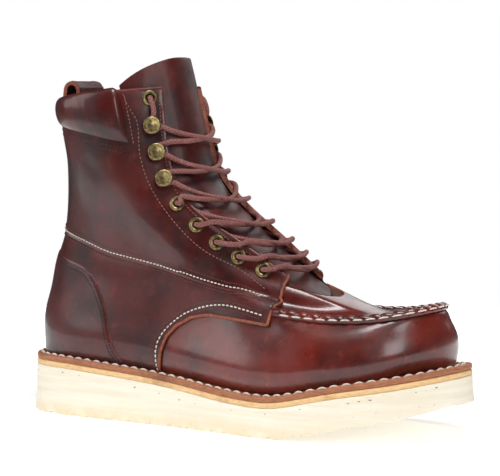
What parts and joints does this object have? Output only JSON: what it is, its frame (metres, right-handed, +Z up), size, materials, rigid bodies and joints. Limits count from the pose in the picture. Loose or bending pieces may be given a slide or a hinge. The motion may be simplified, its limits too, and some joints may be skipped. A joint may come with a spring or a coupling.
{
  "type": "wedge sole work boot",
  "caption": "Tall lace-up leather work boot for the right foot, with a moccasin toe, padded collar, pull loop and flat cream wedge sole.",
  "frame": {"origin": "middle of the sole's bounding box on the floor", "axes": "+X from heel to toe, +Y towards the inner (medial) side, +Z up"},
  "size_m": [0.302, 0.112, 0.2285],
  "materials": {
    "cream_rubber": "matte, slightly rough",
    "natural_leather": "raw edge, rounded and sanded",
    "welt_leather": "raw leather strip",
    "insole_leather": "matte",
    "burgundy_leather": "glossy pull-up leather",
    "antique_brass": "aged, satin",
    "brown_lace": "round woven cord"
  },
  "bodies": {
    "root": {"outsole": "cream_rubber", "midsole": "natural_leather", "welt": "welt_leather", "insole": "insole_leather", "upper": "burgundy_leather", "tongue": "burgundy_leather", "pull_loop": "burgundy_leather", "laces": "brown_lace", "eyelet_lateral_1": "antique_brass", "eyelet_lateral_2": "antique_brass", "eyelet_lateral_3": "antique_brass", "eyelet_lateral_4": "antique_brass", "eyelet_lateral_5": "antique_brass", "eyelet_lateral_6": "antique_brass", "hook_lateral_1": "antique_brass", "hook_lateral_2": "antique_brass", "hook_lateral_3": "antique_brass", "eyelet_medial_1": "antique_brass", "eyelet_medial_2": "antique_brass", "eyelet_medial_3": "antique_brass", "eyelet_medial_4": "antique_brass", "eyelet_medial_5": "antique_brass", "eyelet_medial_6": "antique_brass", "hook_medial_1": "antique_brass", "hook_medial_2": "antique_brass", "hook_medial_3": "antique_brass"}
  },
  "joints": []
}
